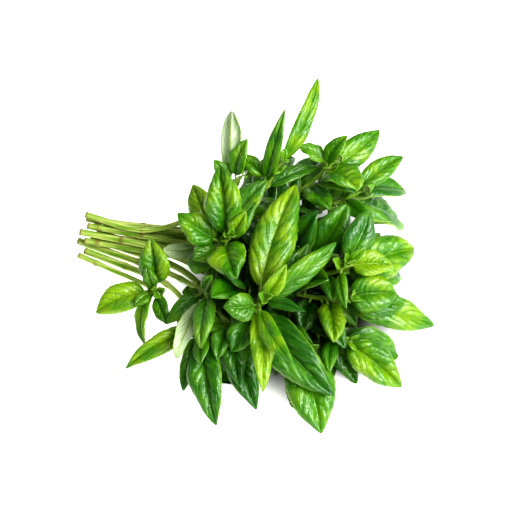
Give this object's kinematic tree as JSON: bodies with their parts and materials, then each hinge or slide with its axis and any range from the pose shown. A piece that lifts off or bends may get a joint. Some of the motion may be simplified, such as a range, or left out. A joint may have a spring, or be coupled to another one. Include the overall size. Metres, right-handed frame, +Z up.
{
  "type": "basil bunch",
  "caption": "Loose bunch of cut basil lying on its side: leafy stems with broad pointed leaves in opposite pairs, bare cut stems at one end, nothing tying it.",
  "frame": {"origin": "middle of the bunch's footprint, on the surface it lies on", "axes": "+Z up, +X along the bunch from the cut stem ends towards the leafy tops"},
  "size_m": [0.2411, 0.2194, 0.1017],
  "materials": {
    "leafy_stem": "fresh basil leaf, deep green with a soft gloss, paler below"
  },
  "bodies": {
    "root": {"front_crown": "leafy_stem", "left_crown": "leafy_stem", "right_crown": "leafy_stem", "back_crown": "leafy_stem", "back_right": "leafy_stem", "right_back": "leafy_stem", "right_front": "leafy_stem", "left_front": "leafy_stem", "front_foot": "leafy_stem", "left_low": "leafy_stem", "front_left": "leafy_stem", "front_low": "leafy_stem", "front_right": "leafy_stem", "back_left": "leafy_stem"}
  },
  "joints": []
}
